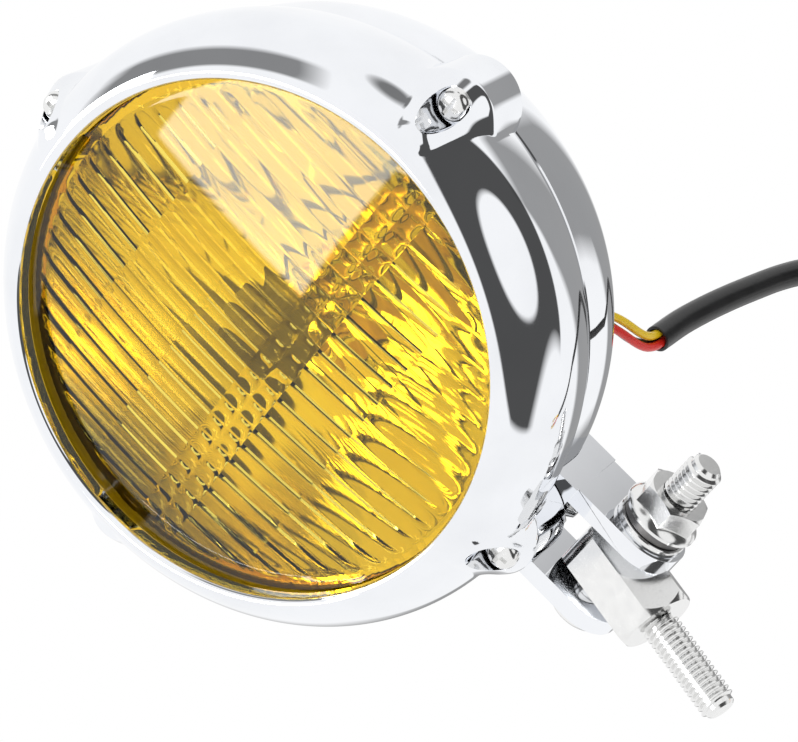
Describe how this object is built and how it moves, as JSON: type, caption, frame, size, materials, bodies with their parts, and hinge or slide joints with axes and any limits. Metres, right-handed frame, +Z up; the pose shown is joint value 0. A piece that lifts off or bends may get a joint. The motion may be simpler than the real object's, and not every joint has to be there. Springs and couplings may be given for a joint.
{
  "type": "fog light",
  "caption": "Round fog light with an amber fluted lens, chromed bezel and bowl, on a clevis that tilts over a threaded bottom stud.",
  "frame": {"origin": "centre of the mounting stud at the shoulder where its hexagon meets the thread", "axes": "+Z up the stud towards the pivot, the thread pointing -Z; the lens faces -Y and 16 degrees down at rest; +X along the pivot bolt towards its nut"},
  "size_m": [0.14, 0.2016, 0.3044],
  "materials": {
    "chrome": "polished",
    "zinc_steel": "zinc plated",
    "spring_steel": "bare",
    "dark_metal": "blackened",
    "amber_glass": "fluted",
    "clear_glass": "clear",
    "mirror": "aluminised",
    "brass": "satin",
    "rubber": "matt",
    "black_plastic": "moulded",
    "glass_sleeving": "braided",
    "red_insulation": "smooth",
    "yellow_insulation": "smooth",
    "black_insulation": "smooth"
  },
  "bodies": {
    "stud": {"mount_stud": "zinc_steel"},
    "head": {"bezel": "chrome", "bezel_screws": "zinc_steel", "bezel_lugs": "spring_steel", "lens": "amber_glass", "lens_gasket": "rubber", "reflector": "mirror", "retaining_clips": "spring_steel", "bulb_glass": "clear_glass", "bulb_filament": "dark_metal", "bulb_base": "brass", "bulb_shield": "dark_metal", "bulb_holder": "zinc_steel", "bulb_spring": "spring_steel", "bulb_connector": "black_plastic", "inner_sleeve": "glass_sleeving", "bucket": "chrome", "cable_grommet": "rubber", "wire_red": "red_insulation", "wire_yellow": "yellow_insulation", "wire_black": "black_insulation", "cable_sleeve": "black_insulation", "wire_terminals": "brass", "bracket": "chrome", "bracket_backing": "zinc_steel", "bracket_rivets": "zinc_steel", "pivot_bolt": "zinc_steel", "pivot_washer": "zinc_steel", "lock_washer": "dark_metal", "pivot_nut": "zinc_steel"}
  },
  "joints": [
    {"name": "head_tilt", "type": "hinge", "parent": "stud", "child": "head", "pos_m": [0, 0, 0.0155], "axis": [1, 0, 0], "range_deg": [-60, 34]}
  ]
}
